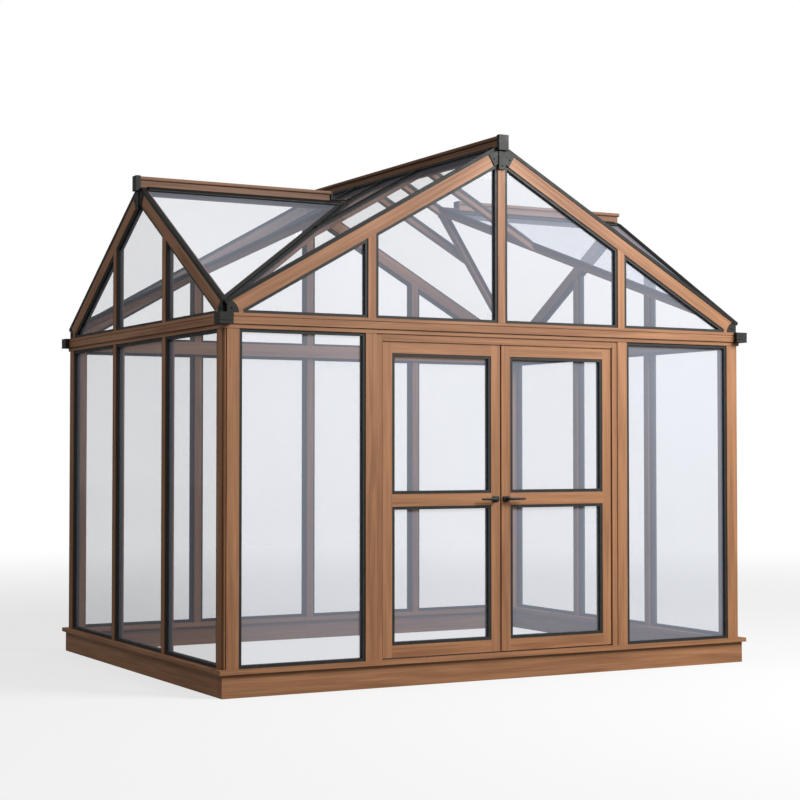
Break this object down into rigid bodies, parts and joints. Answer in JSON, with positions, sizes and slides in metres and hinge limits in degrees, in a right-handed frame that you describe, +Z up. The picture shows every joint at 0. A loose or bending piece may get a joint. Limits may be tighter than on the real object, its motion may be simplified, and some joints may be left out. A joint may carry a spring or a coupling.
{
  "type": "glass greenhouse",
  "caption": "Timber-framed greenhouse with full-height glazing, a cross-gabled glass roof and glazed double doors with levers, on a low plinth.",
  "frame": {"origin": "on the ground, in the middle of the plan", "axes": "+Z up, -Y towards the front with the doors, +X to the right of someone facing the doors"},
  "size_m": [3.66, 2.76, 3.236],
  "materials": {
    "timber": "stained, satin",
    "dark_metal": "charcoal, satin",
    "gasket": "matt",
    "glass": "clear"
  },
  "bodies": {
    "frame": {"front_plinth": "timber", "back_plinth": "timber", "side_plinths": "timber", "front_sill": "timber", "back_sill": "timber", "side_sills": "timber", "corner_posts": "timber", "side_wall_mullions": "timber", "back_wall_mullions": "timber", "door_jambs": "timber", "door_head": "timber", "front_eave_beam": "timber", "back_eave_beam": "timber", "side_eave_beams": "timber", "main_gable_rafters": "timber", "side_gable_rafters": "timber", "main_gable_mullions": "timber", "side_gable_mullions": "timber", "main_ridge_beam": "timber", "side_ridge_beams": "timber", "ridge_caps": "timber", "valley_rafters": "timber", "jack_rafters": "timber", "eave_corner_blocks": "dark_metal", "rafter_foot_brackets": "dark_metal", "apex_brackets": "dark_metal", "saddle_brackets": "dark_metal", "jamb_hinges": "dark_metal", "front_wall_glass": "glass", "side_wall_glass": "glass", "back_wall_glass": "glass", "main_gable_glass": "glass", "side_gable_glass": "glass", "main_roof_glass": "glass", "cross_roof_glass": "glass", "wall_gaskets": "gasket", "main_gable_gaskets": "gasket", "side_gable_gaskets": "gasket", "main_roof_gaskets": "gasket", "cross_roof_gaskets": "gasket"},
    "left_door": {"left_door_stiles": "timber", "left_door_rails": "timber", "left_door_glass": "glass", "left_door_gaskets": "gasket", "left_door_hinges": "dark_metal", "left_door_roses": "dark_metal"},
    "left_lever": {"left_door_lever": "dark_metal"},
    "right_door": {"right_door_stiles": "timber", "right_door_rails": "timber", "right_door_glass": "glass", "right_door_gaskets": "gasket", "right_door_hinges": "dark_metal", "right_door_roses": "dark_metal"},
    "right_lever": {"right_door_lever": "dark_metal"}
  },
  "joints": [
    {"name": "left_door_hinge", "type": "hinge", "parent": "frame", "child": "left_door", "pos_m": [-0.8, -1.2765, 1.065], "axis": [0, 0, 1], "range_deg": [0, 100]},
    {"name": "right_door_hinge", "type": "hinge", "parent": "frame", "child": "right_door", "pos_m": [0.8, -1.2765, 1.065], "axis": [0, 0, -1], "range_deg": [0, 100]},
    {"name": "left_lever_turn", "type": "hinge", "parent": "left_door", "child": "left_lever", "pos_m": [-0.036, -1.305, 1.065], "axis": [0, -1, 0], "range_deg": [0, 40], "stiffness_Nm_per_rad": 1.5, "springref_deg": -17.19},
    {"name": "right_lever_turn", "type": "hinge", "parent": "right_door", "child": "right_lever", "pos_m": [0.036, -1.305, 1.065], "axis": [0, 1, 0], "range_deg": [0, 40], "stiffness_Nm_per_rad": 1.5, "springref_deg": -17.19}
  ]
}
